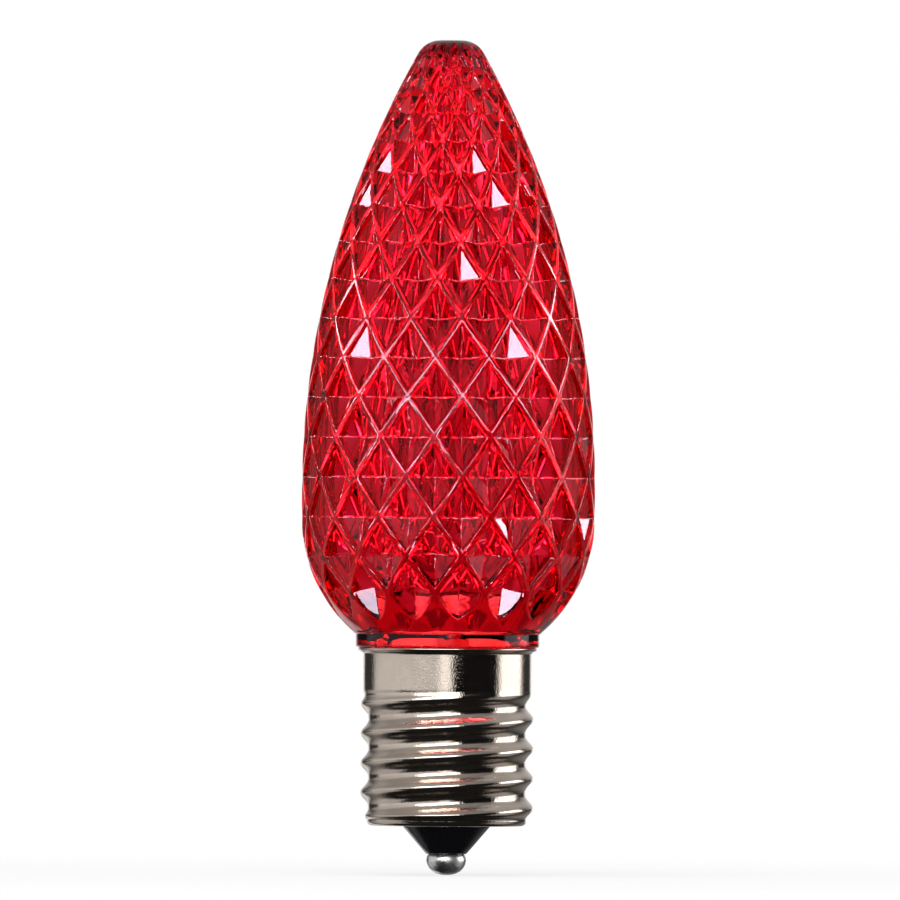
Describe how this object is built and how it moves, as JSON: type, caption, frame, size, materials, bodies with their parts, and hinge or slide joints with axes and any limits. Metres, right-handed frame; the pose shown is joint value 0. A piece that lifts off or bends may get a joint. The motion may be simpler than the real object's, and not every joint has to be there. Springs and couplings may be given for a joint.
{
  "type": "christmas light bulb",
  "caption": "Cone-shaped retrofit lamp with a faceted red transparent lens on a nickel-plated screw base, with LEDs on a board in its neck.",
  "frame": {"origin": "lowest point of the solder contact, on the bulb's axis", "axes": "+Z along the axis from the contact to the tip of the lens, -Y towards the picture's camera"},
  "size_m": [0.028, 0.028, 0.0795],
  "materials": {
    "red_lens": "clear moulded plastic tinted deep red, polished facets",
    "nickel_plate": "bright nickel plate on thin rolled sheet",
    "black_plastic": "glossy black moulded insulator",
    "brass": "plain pressed brass",
    "solder": "satin solder",
    "board": "white solder mask on glass-fibre board",
    "black_epoxy": "moulded epoxy",
    "chip_ceramic": "glazed resistor with tinned ends",
    "capacitor_sleeve": "shrink sleeve",
    "red_sleeve": "wire insulation",
    "white_sleeve": "wire insulation",
    "lamp_package": "white package with a clear window"
  },
  "bodies": {
    "root": {"lens": "red_lens", "screw_shell": "nickel_plate", "insulator": "black_plastic", "contact_eyelet": "brass", "tip_solder": "solder", "circuit_board": "board", "bridge_rectifier": "black_epoxy", "resistor_1": "chip_ceramic", "resistor_2": "chip_ceramic", "smoothing_capacitor": "capacitor_sleeve", "live_lead": "red_sleeve", "neutral_lead": "white_sleeve", "shell_solder": "solder", "led_1": "lamp_package", "led_2": "lamp_package", "led_3": "lamp_package", "led_4": "lamp_package", "led_5": "lamp_package"}
  },
  "joints": []
}
